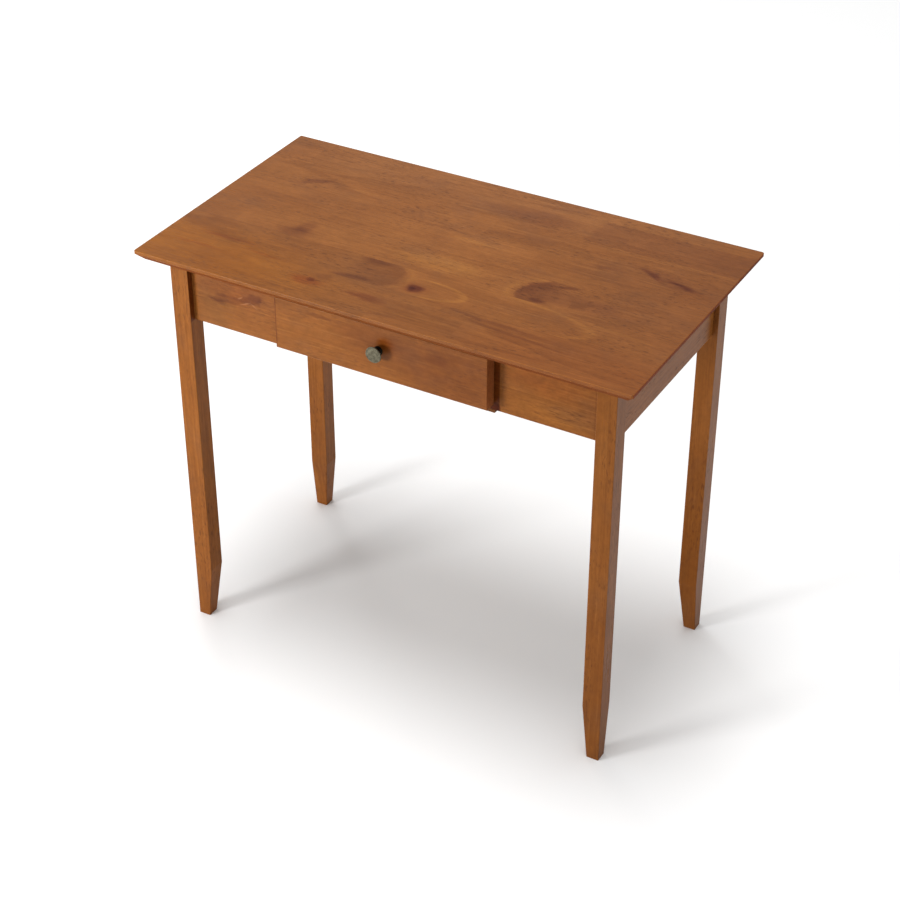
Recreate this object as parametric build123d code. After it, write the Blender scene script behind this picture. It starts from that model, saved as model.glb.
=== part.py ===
from build123d import *
import os
from math import sqrt

# Writing desk in solid pine: four square legs with tapered feet, an apron frame, a bevelled top and a drawer.
# Millimetres. +X is to the right seen from the front, -Y is the front, +Z is up.
# The origin is on the floor, below the middle of the top.

# ---- Overall size ----
desk_width = 900.0
desk_depth = 502.0
desk_height = 762.5

# ---- Top ----
top_thickness = 18.0
top_edge_height = 6.0          # upright part of the edge; the rest slopes back underneath
top_bevel_width = 12.0         # how far the slope runs back under the top
top_corner_radius = 4.0
top_bevel_corner_radius = 2.0
top_arris_radius = 1.2
overhang_side = 41.4           # from the legs' outer faces to the edge of the top
overhang_front = 39.7
overhang_back = 39.7

# ---- Legs ----
leg_square = 34.0
foot_square = 22.4
taper_height = 107.0
arris_radius = 1.0             # softened edges of legs, aprons and drawer front

# ---- Aprons ----
apron_thickness = 18.0
apron_height = 116.3
apron_setback_front = 12.0     # from the leg's face to the apron's face
apron_setback_back = 12.0
apron_setback_side = 9.0

# ---- Drawer front and its opening ----
drawer_front_width = 388.8
drawer_front_height = 93.3
drawer_front_thickness = 23.2
drawer_front_drop = 10.7       # from the underside of the top to the front's upper edge
drawer_front_lap = 7.4         # how far the front covers the aprons beside the opening
drawer_front_gap = 1.8         # between the closed front and the apron's face
bumper_thickness = 1.5
bumper_radius = 3.0
bumper_round = 0.6
bumper_edge_distance = 12.0    # from the front's upper and lower edges to the bumper's centre

# ---- Rails above and below the drawer ----
rail_depth = 50.0
rail_upper_thickness = 16.0
rail_lower_thickness = 22.0
rail_lower_drop = 5.7          # the lower rail hangs this far below the aprons
rail_lap_length = 8.3          # and its lip runs this far under them

# ---- Guides, runners and kickers that carry the drawer ----
guide_thickness = 15.0
runner_width = 18.0
runner_thickness = 16.0
kicker_thickness = 16.0

# ---- Drawer box ----
box_rear_clearance = 12.4      # from the closed box to the back apron
box_side_thickness = 12.0
box_front_thickness = 15.0
box_back_thickness = 12.0
box_back_drop = 4.0            # the back stands this far below the sides' upper edges
box_side_clearance = 1.5
box_bottom_clearance = 0.4
box_top_clearance = 1.6
panel_thickness = 5.0
panel_height = 8.0             # from the sides' lower edges to the panel
groove_depth = 5.0
groove_fit = 0.1

# ---- Knob ----
knob_radius = 15.0
knob_projection = 18.5
knob_rim_height = 2.6
knob_face_crown = 0.8
knob_back_cone = 3.4
knob_edge_break = 0.8
knob_neck_flare = 1.2          # how much wider the neck is at its ends
knob_neck_radius = 6.0
knob_base_radius = 8.5
knob_base_height = 2.2
knob_above_lower_edge = 51.0
knob_thread_depth = 9.0

# ---- Stop button on the drawer back ----
button_length = 52.0
button_width = 14.0
button_thickness = 8.0
button_top_gap = 4.5           # from the underside of the top to the button's upper end
button_rest_gap = 0.6          # left between button and rail when the drawer is fully out

# ---- Corner blocks and hanger bolts ----
block_height = 60.0
block_drop = 26.0              # from the underside of the top
block_near = 36.0              # where the block's faces meet the aprons, from the inner corner
block_far = 68.0
bolt_radius = 4.0
bolt_embedment = 18.0
bolt_end_length = 3.0
washer_radius = 11.0
washer_thickness = 1.6
nut_across_flats = 13.0
nut_thickness = 6.5

# ---- Clips that hold the top ----
clip_width = 18.0
clip_metal = 1.5
clip_tab_length = 7.0
clip_kerf_depth = 8.0
clip_kerf_height = 1.8
clip_kerf_gap = 1.0            # beside the tab
clip_drop = 13.5               # from the underside of the top to the lower face of the tab
clip_riser_gap = 1.5           # between the apron and the clip's upright part
clip_reach = 24.0              # how far the clip reaches in under the top
clip_screw_reach = 15.0
clip_kicker_gap = 10.0         # from a kicker to the clip beside it on the back apron
side_clip_spacing = 140.0

# ---- Dowels and fits ----
guide_dowel_radius = 4.0
guide_dowel_length = 30.0
guide_dowel_in_apron = 12.0
guide_dowel_edge = 30.0        # from the apron's upper and lower edges
box_dowel_radius = 3.0
box_dowel_length = 34.0
box_dowel_edge = 24.0          # from the joint's upper and lower ends
dowel_chamfer = 0.8
bolt_chamfer = 0.8
fastener_fit = 0.06            # radial gap between a fastener and its hole
head_fit = 0.4                 # radial gap around a sunk screw head
bolt_relief = 0.5              # radial gap where a hanger bolt passes an apron's end
cut_past = 1.0                 # how far a slot's cut runs past the face that it opens on

# ---- Screw heads, as shares of the head's own size ----
head_round_share = 0.6
cross_length_share = 1.1
cross_width_share = 0.24
cross_depth_share = 0.5
screw_point_share = 0.2

# ---- Derived planes ----
underside = desk_height - top_thickness
leg_outer_x = desk_width / 2 - overhang_side
leg_outer_front = desk_depth / 2 - overhang_front
leg_outer_back = desk_depth / 2 - overhang_back
leg_inner_x = leg_outer_x - leg_square
apron_bottom = underside - apron_height
front_face = -(leg_outer_front - apron_setback_front)
front_inner = front_face + apron_thickness
back_face = leg_outer_back - apron_setback_back
back_inner = back_face - apron_thickness
side_face = leg_outer_x - apron_setback_side
side_inner = side_face - apron_thickness
opening_half = drawer_front_width / 2 - drawer_front_lap
rail_back = front_face + rail_depth
rail_lower_bottom = apron_bottom - rail_lower_drop
opening_bottom = rail_lower_bottom + rail_lower_thickness
opening_top = underside - rail_upper_thickness
guide_outer = opening_half + guide_thickness

drawer_front_top = underside - drawer_front_drop
drawer_front_bottom = drawer_front_top - drawer_front_height
drawer_front_back = front_face - drawer_front_gap
drawer_front_face = drawer_front_back - drawer_front_thickness
box_outer = opening_half - box_side_clearance
box_inner = box_outer - box_side_thickness
box_bottom = opening_bottom + box_bottom_clearance
box_top = opening_top - box_top_clearance
box_rear = back_inner - box_rear_clearance
box_front_inner = drawer_front_back + box_front_thickness
box_back_inner = box_rear - box_back_thickness
box_back_top = box_top - box_back_drop
panel_bottom = box_bottom + panel_height
panel_top = panel_bottom + panel_thickness
knob_height = drawer_front_bottom + knob_above_lower_edge
button_top = underside - button_top_gap
button_face = box_back_inner - button_thickness
block_top = underside - block_drop
block_bottom = block_top - block_height
drawer_travel = button_face - rail_back - button_rest_gap


class Screw:
    """A round-headed wood screw. Local +Z is the driving direction and the head's seat is at zero."""

    def __init__(self, length, radius, head_radius, head_height, tip_length):
        self.length = length
        self.radius = radius
        self.head_radius = head_radius
        self.head_height = head_height
        self.tip_length = tip_length

    def solid(self):
        shank_length = self.length - self.tip_length
        shank = Pos(0, 0, shank_length / 2) * Cylinder(self.radius, shank_length)
        tip_middle = shank_length + self.tip_length / 2
        tip = Pos(0, 0, tip_middle) * Cone(self.radius, self.radius * screw_point_share, self.tip_length)
        head = Pos(0, 0, -self.head_height / 2) * Cylinder(self.head_radius, self.head_height)
        head = fillet(head.edges().sort_by(Axis.Z)[0], self.head_height * head_round_share)
        slot_size = self.head_radius * cross_length_share
        slot_width = self.head_radius * cross_width_share
        slot_depth = self.head_height * cross_depth_share
        slot_middle = -self.head_height + slot_depth / 2
        cross = Box(slot_size, slot_width, slot_depth) + Box(slot_width, slot_size, slot_depth)
        return shank + tip + head - Pos(0, 0, slot_middle) * cross

    def hole(self, sink=0.0):
        """The room that the screw needs; sink is the depth of the head's pocket above its seat."""
        reach = self.length + fastener_fit
        room = Pos(0, 0, reach / 2) * Cylinder(self.radius + fastener_fit, reach)
        if sink > 0:
            room += Pos(0, 0, -sink / 2) * Cylinder(self.head_radius + head_fit, sink)
        return room


block_screw = Screw(length=24.0, radius=2.0, head_radius=3.9, head_height=2.6, tip_length=4.0)
clip_screw = Screw(length=13.0, radius=1.9, head_radius=3.8, head_height=2.4, tip_length=3.5)
rail_screw = Screw(length=38.0, radius=2.0, head_radius=3.9, head_height=2.6, tip_length=4.0)
runner_screw = Screw(length=22.0, radius=1.8, head_radius=3.5, head_height=2.2, tip_length=3.5)
front_screw = Screw(length=30.0, radius=2.0, head_radius=4.2, head_height=2.6, tip_length=4.0)
panel_screw = Screw(length=16.0, radius=1.4, head_radius=2.8, head_height=1.6, tip_length=3.0)
button_screw = Screw(length=17.0, radius=1.9, head_radius=3.8, head_height=2.4, tip_length=3.5)
knob_screw_radius = 2.0
knob_screw_head_radius = 3.9
knob_screw_head_height = 2.4

block_screw_pocket = 8.0       # depth of wood left under a block screw's head
runner_screw_pocket = 8.0      # depth of the pocket in a runner or kicker
block_screw_spread = 30.0
rail_screw_spread = 16.0
front_screw_edge = 33.5        # from the box sides to the screws in the drawer front
front_screw_spread = 40.0
runner_screw_end = 40.0        # from a runner's end to its first screw
panel_screw_edge = 63.5        # from the box sides to the outer screws in the bottom panel


def slab(x_low, x_high, y_low, y_high, z_low, z_high):
    """A rectangular piece between six planes."""
    middle = Pos((x_low + x_high) / 2, (y_low + y_high) / 2, (z_low + z_high) / 2)
    return middle * Box(x_high - x_low, y_high - y_low, z_high - z_low)


def placed(point, direction):
    """The place of something whose local +Z points along direction."""
    return Plane(origin=point, z_dir=direction).location


def on_side(piece, sign):
    """A piece made on the right, or its mirror image on the left."""
    return piece if sign > 0 else mirror(piece, about=Plane.YZ)


def drilled(piece, places, room):
    """The piece with the same room cut at each place."""
    for place in places:
        piece = piece - place * room
    return piece


def softened(piece, direction, radius=arris_radius):
    """The piece with its edges along one direction slightly rounded."""
    return fillet(piece.edges().filter_by(direction), radius)


def group(solids):
    return Compound(children=list(solids))


# ---- Where the fasteners go ----

def block_corner(x_sign, y_sign):
    """Inner corner of the apron frame."""
    return Vector(x_sign * side_inner, front_inner if y_sign < 0 else back_inner, 0)


def leg_centre(x_sign, y_sign):
    outer_y = leg_outer_front if y_sign < 0 else leg_outer_back
    return Vector(x_sign * (leg_outer_x - leg_square / 2), y_sign * (outer_y - leg_square / 2), 0)


def bolt_axis(x_sign, y_sign):
    """Line of a hanger bolt: a point at the leg's centre and the way in to the middle of the desk."""
    start = leg_centre(x_sign, y_sign) + Vector(0, 0, (block_top + block_bottom) / 2)
    return start, Vector(-x_sign, -y_sign, 0).normalized()


def block_distance(x_sign, y_sign, reach):
    """Distance from the leg's centre to a block face that meets the aprons at reach."""
    offset = block_corner(x_sign, y_sign) - leg_centre(x_sign, y_sign)
    inward = Vector(-x_sign, -y_sign, 0).normalized()
    return offset.dot(inward) + reach / sqrt(2)


def block_screw_places(x_sign, y_sign):
    """Two screws into the side apron and two into the front or back apron."""
    corner = block_corner(x_sign, y_sign)
    along = (block_near + block_far) / 2
    middle = (block_top + block_bottom) / 2
    places = []
    for height in (middle - block_screw_spread / 2, middle + block_screw_spread / 2):
        seat_x = Vector(corner.X - x_sign * block_screw_pocket, corner.Y - y_sign * along, height)
        seat_y = Vector(corner.X - x_sign * along, corner.Y - y_sign * block_screw_pocket, height)
        places.append(placed(seat_x, (x_sign, 0, 0)))
        places.append(placed(seat_y, (0, y_sign, 0)))
    return places


def clip_frames():
    """Each clip's place: origin on the apron's inner face at the underside of the top, local X inwards."""
    spots = []
    back_x = opening_half - runner_width - clip_kicker_gap - clip_width / 2
    front_x = (guide_outer + leg_inner_x) / 2
    for sign in (-1, 1):
        spots.append(((sign * back_x, back_inner), (0, -1, 0)))
        spots.append(((sign * front_x, front_inner), (0, 1, 0)))
        for y in (-side_clip_spacing / 2, side_clip_spacing / 2):
            spots.append(((sign * side_inner, y), (-sign, 0, 0)))
    planes = [Plane(origin=(*spot, underside), x_dir=inward, z_dir=(0, 0, 1)) for spot, inward in spots]
    return [plane.location for plane in planes]


def clip_screw_places():
    return [frame * Pos(clip_screw_reach, 0, -clip_metal) for frame in clip_frames()]


def guide_dowel_places(y_plane, y_sign):
    """Dowels that cross from a guide's end into the apron; the point is the dowel's end in the apron."""
    places = []
    for sign in (-1, 1):
        for height in (apron_bottom + guide_dowel_edge, underside - guide_dowel_edge):
            x = sign * (opening_half + guide_thickness / 2)
            places.append(placed((x, y_plane + y_sign * guide_dowel_in_apron, height), (0, -y_sign, 0)))
    return places


def all_guide_dowel_places():
    return guide_dowel_places(front_inner, -1) + guide_dowel_places(back_inner, 1)


def rail_screw_places():
    """Screws through the guides into both rails' ends."""
    places = []
    middle_y = (front_inner + rail_back) / 2
    heights = ((apron_bottom + opening_bottom) / 2, (opening_top + underside) / 2)
    for sign in (-1, 1):
        for height in heights:
            for y in (middle_y - rail_screw_spread / 2, middle_y + rail_screw_spread / 2):
                seat = (sign * guide_outer, y, height)
                places.append(placed(seat, (-sign, 0, 0)))
    return places


def runner_screw_places(height):
    """Three screws along each runner or kicker, driven outwards into the guide."""
    places = []
    first = rail_back + runner_screw_end
    last = back_inner - runner_screw_end
    for sign in (-1, 1):
        for y in (first, (first + last) / 2, last):
            seat = (sign * (opening_half - runner_width + runner_screw_pocket), y, height)
            places.append(placed(seat, (sign, 0, 0)))
    return places


def all_runner_screw_places():
    runner_middle = opening_bottom - runner_thickness / 2
    kicker_middle = underside - kicker_thickness / 2
    return runner_screw_places(runner_middle) + runner_screw_places(kicker_middle)


def front_screw_places():
    """Screws from inside the drawer box into the drawer front."""
    middle = (drawer_front_bottom + drawer_front_top) / 2
    places = []
    for x in (front_screw_edge - box_inner, box_inner - front_screw_edge):
        for height in (middle - front_screw_spread / 2, middle + front_screw_spread / 2):
            places.append(placed((x, box_front_inner, height), (0, -1, 0)))
    return places


def box_dowel_places():
    """Dowels through the box sides into the ends of the box front and back."""
    front_y = drawer_front_back + box_front_thickness / 2
    back_y = box_back_inner + box_back_thickness / 2
    joints = ((front_y, box_bottom, box_top), (back_y, panel_top, box_back_top))
    places = []
    for sign in (-1, 1):
        for y, low, high in joints:
            for height in (low + box_dowel_edge, high - box_dowel_edge):
                places.append(placed((sign * box_outer, y, height), (-sign, 0, 0)))
    return places


def panel_screw_places():
    """Small screws up through the bottom panel into the box back."""
    y = (box_back_inner + box_rear) / 2
    reach = box_inner - panel_screw_edge
    return [placed((x, y, panel_bottom), (0, 0, 1)) for x in (-reach, 0, reach)]


def button_screw_place():
    height = button_top - button_length + button_width / 2
    return placed((0, button_face, height), (0, 1, 0))


def knob_axis(y):
    """Place on the knob's axis with local +Z towards the front."""
    return placed((0, y, knob_height), (0, -1, 0))


# ---- Frame ----

def desk_top():
    """Panel with an upright edge and a slope underneath that runs back all round."""
    edge_bottom = desk_height - top_edge_height
    outline = RectangleRounded(desk_width, desk_depth, top_corner_radius)
    panel = Pos(0, 0, edge_bottom) * extrude(outline, top_edge_height)
    inner_width = desk_width - 2 * top_bevel_width
    inner_depth = desk_depth - 2 * top_bevel_width
    inner_outline = RectangleRounded(inner_width, inner_depth, top_bevel_corner_radius)
    bevel = loft([Pos(0, 0, underside) * inner_outline, Pos(0, 0, edge_bottom) * outline], ruled=True)
    panel = fillet(panel.faces().sort_by(Axis.Z)[-1].edges(), top_arris_radius)
    return drilled(panel + bevel, clip_screw_places(), clip_screw.hole())


def leg(x_sign, y_sign):
    """Square leg, straight outside, whose two inner faces slope in to the foot."""
    centre = leg_centre(x_sign, y_sign)
    half = leg_square / 2
    inset = leg_square - foot_square
    post = Pos(0, 0, underside / 2) * Box(leg_square, leg_square, underside)
    profile = Polyline((-half, taper_height), (-half, 0), (-half + inset, 0), close=True)
    wedge = extrude(make_face(Plane.XZ * profile), leg_square, both=True)
    post = post - wedge - Rot(0, 0, 90) * wedge
    post = fillet(post.edges().filter_by(lambda edge: edge.length > taper_height * 0.9), arris_radius)
    turn = {(1, 1): 0, (-1, 1): 90, (-1, -1): 180, (1, -1): 270}[(x_sign, y_sign)]
    post = Pos(centre.X, centre.Y, 0) * Rot(0, 0, turn) * post
    start, inward = bolt_axis(x_sign, y_sign)
    corner_distance = leg_square / sqrt(2)
    hole_start = start + inward * (corner_distance - bolt_embedment)
    hole = Pos(0, 0, leg_square / 2) * Cylinder(bolt_radius + fastener_fit, leg_square)
    return post - placed(hole_start, inward) * hole


def kerf(frame):
    """Slot in an apron for a clip's tab."""
    half_width = clip_width / 2 + clip_kerf_gap
    room = slab(-clip_kerf_depth, cut_past, -half_width, half_width, -clip_kerf_height, 0)
    return frame * Pos(0, 0, -clip_drop + clip_kerf_height) * room


def finished_apron(board, direction):
    """An apron board with softened long edges, clip slots, and room for its bolts, screws and dowels."""
    board = fillet(board.edges().filter_by(direction).group_by(Axis.Z)[0], arris_radius)
    relief = Pos(0, 0, block_far / 2) * Cylinder(bolt_radius + bolt_relief, block_far)
    for frame in clip_frames():
        board = board - kerf(frame)
    for signs in corner_signs():
        board = drilled(board, block_screw_places(*signs), block_screw.hole())
        board = board - placed(*bolt_axis(*signs)) * relief
    return drilled(board, all_guide_dowel_places(), guide_dowel_room())


def apron_back():
    board = slab(-leg_inner_x, leg_inner_x, back_inner, back_face, apron_bottom, underside)
    return finished_apron(board, Axis.X)


def apron_side(x_sign):
    front_end = -(leg_outer_front - leg_square)
    back_end = leg_outer_back - leg_square
    board = on_side(slab(side_inner, side_face, front_end, back_end, apron_bottom, underside), x_sign)
    return finished_apron(board, Axis.Y)


def apron_front(x_sign):
    """Short apron between a front leg and the drawer opening."""
    board = slab(opening_half, leg_inner_x, front_face, front_inner, apron_bottom, underside)
    return finished_apron(on_side(board, x_sign), Axis.X)


def drawer_rail_upper():
    rail = slab(-opening_half, opening_half, front_face, rail_back, opening_top, underside)
    return drilled(rail, rail_screw_places(), rail_screw.hole())


def drawer_rail_lower():
    """Rail under the drawer, with a lip at each end that runs under the aprons and guides."""
    rail = slab(-opening_half, opening_half, front_face, rail_back, apron_bottom, opening_bottom)
    lip_half = opening_half + rail_lap_length
    rail = rail + slab(-lip_half, lip_half, front_face, rail_back, rail_lower_bottom, apron_bottom)
    front_edge = rail.edges().filter_by(Axis.X).group_by(Axis.Z)[0].sort_by(Axis.Y)[0]
    rail = fillet(front_edge, arris_radius)
    return drilled(rail, rail_screw_places(), rail_screw.hole())


def guide_dowel_room():
    reach = guide_dowel_length + 2 * fastener_fit
    return Pos(0, 0, guide_dowel_length / 2) * Cylinder(guide_dowel_radius + fastener_fit, reach)


def drawer_guide(x_sign):
    """Upright board from the front apron to the back apron, beside the drawer."""
    board = slab(opening_half, guide_outer, front_inner, back_inner, apron_bottom, underside)
    board = drilled(on_side(board, x_sign), all_guide_dowel_places(), guide_dowel_room())
    board = drilled(board, rail_screw_places(), rail_screw.hole())
    return drilled(board, all_runner_screw_places(), runner_screw.hole())


def runner_strip(x_sign, low, high):
    """Strip along the guide, under or over the drawer's side."""
    strip = on_side(slab(opening_half - runner_width, opening_half, rail_back, back_inner, low, high), x_sign)
    return drilled(strip, all_runner_screw_places(), runner_screw.hole(sink=runner_width))


def drawer_runner(x_sign):
    return runner_strip(x_sign, opening_bottom - runner_thickness, opening_bottom)


def drawer_kicker(x_sign):
    return runner_strip(x_sign, underside - kicker_thickness, underside)


def corner_block(x_sign, y_sign):
    """Block across a corner of the frame, mitred to both aprons, that the leg's bolt pulls against."""
    corner = block_corner(x_sign, y_sign)
    outline = Polyline(
        (-x_sign * block_near, 0), (-x_sign * block_far, 0),
        (0, -y_sign * block_far), (0, -y_sign * block_near), close=True,
    )
    prism = extrude(make_face(outline), block_height, dir=(0, 0, 1))
    block = Pos(corner.X, corner.Y, block_bottom) * prism
    start, inward = bolt_axis(x_sign, y_sign)
    bore = Pos(0, 0, block_far / 2) * Cylinder(bolt_radius + fastener_fit, 2 * block_far)
    block = block - placed(start, inward) * bore
    return drilled(block, block_screw_places(x_sign, y_sign), block_screw.hole(sink=block_far))


def corner_signs():
    return [(x_sign, y_sign) for y_sign in (-1, 1) for x_sign in (-1, 1)]


def bolt_length(x_sign, y_sign):
    inside = leg_square / sqrt(2) - bolt_embedment
    seat = block_distance(x_sign, y_sign, block_far)
    return seat + washer_thickness + nut_thickness + bolt_end_length - inside


def hanger_bolts():
    bolts = []
    for x_sign, y_sign in corner_signs():
        start, inward = bolt_axis(x_sign, y_sign)
        length = bolt_length(x_sign, y_sign)
        rod = Pos(0, 0, length / 2) * Cylinder(bolt_radius, length)
        rod = chamfer(rod.edges().filter_by(GeomType.CIRCLE), bolt_chamfer)
        foot = start + inward * (leg_square / sqrt(2) - bolt_embedment)
        bolts.append(placed(foot, inward) * rod)
    return group(bolts)


def bolt_ring(outline, thickness, lift):
    """A washer or nut on every hanger bolt, lifted off the block's face."""
    ring = extrude(outline - Circle(bolt_radius + fastener_fit), thickness)
    rings = []
    for x_sign, y_sign in corner_signs():
        start, inward = bolt_axis(x_sign, y_sign)
        seat = start + inward * (block_distance(x_sign, y_sign, block_far) + lift)
        rings.append(placed(seat, inward) * ring)
    return group(rings)


def bolt_washers():
    return bolt_ring(Circle(washer_radius), washer_thickness, 0)


def bolt_nuts():
    outline = RegularPolygon(nut_across_flats / 2, 6, major_radius=False)
    return bolt_ring(outline, nut_thickness, washer_thickness)


def top_clips():
    """Bent steel clips: a tab in the apron's slot, an upright part, and a foot screwed to the top."""
    riser = clip_riser_gap + clip_metal
    outline = Polyline(
        (-clip_tab_length, -clip_drop), (riser, -clip_drop), (riser, -clip_metal), (clip_reach, -clip_metal),
        (clip_reach, 0), (clip_riser_gap, 0), (clip_riser_gap, clip_metal - clip_drop),
        (-clip_tab_length, clip_metal - clip_drop), close=True,
    )
    clip = extrude(make_face(Plane.XZ * outline), clip_width / 2, both=True)
    screw_hole = Pos(clip_screw_reach, 0, -clip_metal) * clip_screw.hole()
    return group(frame * (clip - screw_hole) for frame in clip_frames())


def screws(screw, places):
    solid = screw.solid()
    return group(place * solid for place in places)


def dowels(radius, length, places):
    pin = Pos(0, 0, length / 2) * Cylinder(radius, length)
    pin = chamfer(pin.edges().filter_by(GeomType.CIRCLE).sort_by(Axis.Z)[-1], dowel_chamfer)
    return group(place * pin for place in places)


def block_screws():
    return screws(block_screw, [place for signs in corner_signs() for place in block_screw_places(*signs)])


# ---- Drawer ----

def knob_screw_room():
    """Straight hole for the knob's screw through both front boards and into the knob."""
    reach = box_front_thickness + drawer_front_thickness + knob_thread_depth + fastener_fit
    return Pos(0, 0, reach / 2) * Cylinder(knob_screw_radius + fastener_fit, reach)


def drawer_front():
    half = drawer_front_width / 2
    board = slab(-half, half, drawer_front_face, drawer_front_back, drawer_front_bottom, drawer_front_top)
    board = fillet(board.faces().sort_by(Axis.Y)[0].edges(), arris_radius)
    board = drilled(board, front_screw_places(), front_screw.hole())
    return board - knob_axis(box_front_inner) * knob_screw_room()


def panel_room():
    """Groove for the bottom panel in the box sides and front."""
    half = box_inner + groove_depth
    low = panel_bottom - groove_fit
    return slab(-half, half, box_front_inner - groove_depth, box_rear + cut_past, low, panel_top + groove_fit)


def drawer_side(x_sign):
    board = on_side(slab(box_inner, box_outer, drawer_front_back, box_rear, box_bottom, box_top), x_sign)
    board = board - panel_room()
    return drilled(board, box_dowel_places(), box_dowel_room())


def box_dowel_room():
    reach = box_dowel_length + fastener_fit
    return Pos(0, 0, reach / 2) * Cylinder(box_dowel_radius + fastener_fit, reach)


def drawer_box_front():
    board = slab(-box_inner, box_inner, drawer_front_back, box_front_inner, box_bottom, box_top)
    board = board - panel_room()
    board = drilled(board, box_dowel_places(), box_dowel_room())
    board = drilled(board, front_screw_places(), front_screw.hole())
    return board - knob_axis(box_front_inner) * knob_screw_room()


def drawer_box_back():
    board = slab(-box_inner, box_inner, box_back_inner, box_rear, panel_top, box_back_top)
    board = drilled(board, box_dowel_places(), box_dowel_room())
    board = drilled(board, panel_screw_places(), panel_screw.hole())
    return drilled(board, [button_screw_place()], button_screw.hole())


def drawer_bottom():
    half = box_inner + groove_depth - groove_fit
    front_edge = box_front_inner - groove_depth + groove_fit
    panel = slab(-half, half, front_edge, box_rear, panel_bottom, panel_top)
    return drilled(panel, panel_screw_places(), panel_screw.hole())


def drawer_knob():
    """Turned knob: round foot, waisted neck and a flat, slightly crowned head."""
    rim_back = knob_projection - knob_face_crown - knob_rim_height
    cone_back = rim_back - knob_back_cone
    face_middle = (0, knob_projection)
    face_edge = (knob_radius - knob_edge_break, knob_projection - knob_face_crown)
    crown = ThreePointArc(face_middle, (knob_radius / 2, knob_projection - knob_face_crown / 4), face_edge)
    neck_top = (knob_neck_radius + knob_neck_flare, cone_back)
    neck_bottom = (knob_neck_radius + knob_neck_flare, knob_base_height)
    rim_front = (knob_radius, knob_projection - knob_face_crown - knob_edge_break)
    rim = Polyline(face_edge, rim_front, (knob_radius, rim_back), neck_top)
    waist = ThreePointArc(neck_top, (knob_neck_radius, (cone_back + knob_base_height) / 2), neck_bottom)
    base_edge = (knob_base_radius, knob_base_height - knob_edge_break)
    foot = Polyline(neck_bottom, base_edge, (knob_base_radius, 0), (0, 0), face_middle)
    turning = revolve(Plane.XZ * make_face([crown, rim, waist, foot]), Axis.Z)
    bore_depth = knob_thread_depth + fastener_fit
    bore = Pos(0, 0, bore_depth / 2) * Cylinder(knob_screw_radius + fastener_fit, bore_depth)
    return knob_axis(drawer_front_face) * (turning - bore)


def knob_screw():
    """Machine screw from inside the drawer into the knob."""
    length = box_front_thickness + drawer_front_thickness + knob_thread_depth
    shank = Pos(0, 0, length / 2) * Cylinder(knob_screw_radius, length)
    head = Pos(0, 0, -knob_screw_head_height / 2) * Cylinder(knob_screw_head_radius, knob_screw_head_height)
    head = fillet(head.edges().sort_by(Axis.Z)[0], knob_screw_head_height * head_round_share)
    return knob_axis(box_front_inner) * (shank + head)


def drawer_bumpers():
    """Soft pads on the back of the drawer front that meet the aprons beside the opening."""
    x = (opening_half + drawer_front_width / 2) / 2
    pad = Pos(0, 0, bumper_thickness / 2) * Cylinder(bumper_radius, bumper_thickness)
    pad = fillet(pad.edges().sort_by(Axis.Z)[-1], bumper_round)
    heights = (drawer_front_bottom + bumper_edge_distance, drawer_front_top - bumper_edge_distance)
    spots = [(side_x, drawer_front_back, height) for side_x in (-x, x) for height in heights]
    return group(placed(spot, (0, 1, 0)) * pad for spot in spots)


def drawer_stop_button():
    """Wooden button that stands up behind the upper rail's path and stops the drawer."""
    outline = SlotOverall(button_length, button_width, rotation=90)
    button = extrude(Plane.XZ * outline, button_thickness)
    button = Pos(0, box_back_inner, button_top - button_length / 2) * button
    return drilled(button, [button_screw_place()], button_screw.hole())


def nodes():
    """Every piece by name."""
    pieces = {"desk_top": desk_top(), "apron_back": apron_back()}
    sides = (("left", -1), ("right", 1))
    for row, y_sign in (("front", -1), ("back", 1)):
        for side, x_sign in sides:
            pieces[f"leg_{row}_{side}"] = leg(x_sign, y_sign)
            pieces[f"corner_block_{row}_{side}"] = corner_block(x_sign, y_sign)
    for side, x_sign in sides:
        pieces[f"apron_{side}"] = apron_side(x_sign)
        pieces[f"apron_front_{side}"] = apron_front(x_sign)
        pieces[f"drawer_guide_{side}"] = drawer_guide(x_sign)
        pieces[f"drawer_runner_{side}"] = drawer_runner(x_sign)
        pieces[f"drawer_kicker_{side}"] = drawer_kicker(x_sign)
        pieces[f"drawer_side_{side}"] = drawer_side(x_sign)
    pieces["drawer_rail_upper"] = drawer_rail_upper()
    pieces["drawer_rail_lower"] = drawer_rail_lower()
    pieces["hanger_bolts"] = hanger_bolts()
    pieces["bolt_washers"] = bolt_washers()
    pieces["bolt_nuts"] = bolt_nuts()
    pieces["corner_block_screws"] = block_screws()
    pieces["top_clips"] = top_clips()
    pieces["top_clip_screws"] = screws(clip_screw, clip_screw_places())
    pieces["guide_dowels"] = dowels(guide_dowel_radius, guide_dowel_length, all_guide_dowel_places())
    pieces["rail_screws"] = screws(rail_screw, rail_screw_places())
    pieces["runner_screws"] = screws(runner_screw, all_runner_screw_places())
    pieces["drawer_front"] = drawer_front()
    pieces["drawer_box_front"] = drawer_box_front()
    pieces["drawer_box_back"] = drawer_box_back()
    pieces["drawer_bottom"] = drawer_bottom()
    pieces["drawer_knob"] = drawer_knob()
    pieces["knob_screw"] = knob_screw()
    pieces["drawer_front_screws"] = screws(front_screw, front_screw_places())
    pieces["drawer_dowels"] = dowels(box_dowel_radius, box_dowel_length, box_dowel_places())
    pieces["drawer_bottom_screws"] = screws(panel_screw, panel_screw_places())
    pieces["drawer_bumpers"] = drawer_bumpers()
    pieces["drawer_stop_button"] = drawer_stop_button()
    pieces["stop_button_screw"] = screws(button_screw, [button_screw_place()])
    return pieces


os.makedirs("parts", exist_ok=True)
for name, piece in nodes().items():
    export_step(piece, f"parts/{name}.step")
print(f"drawer travel {drawer_travel:.1f} mm, knob front at y {drawer_front_face - knob_projection:.1f} mm")
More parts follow.
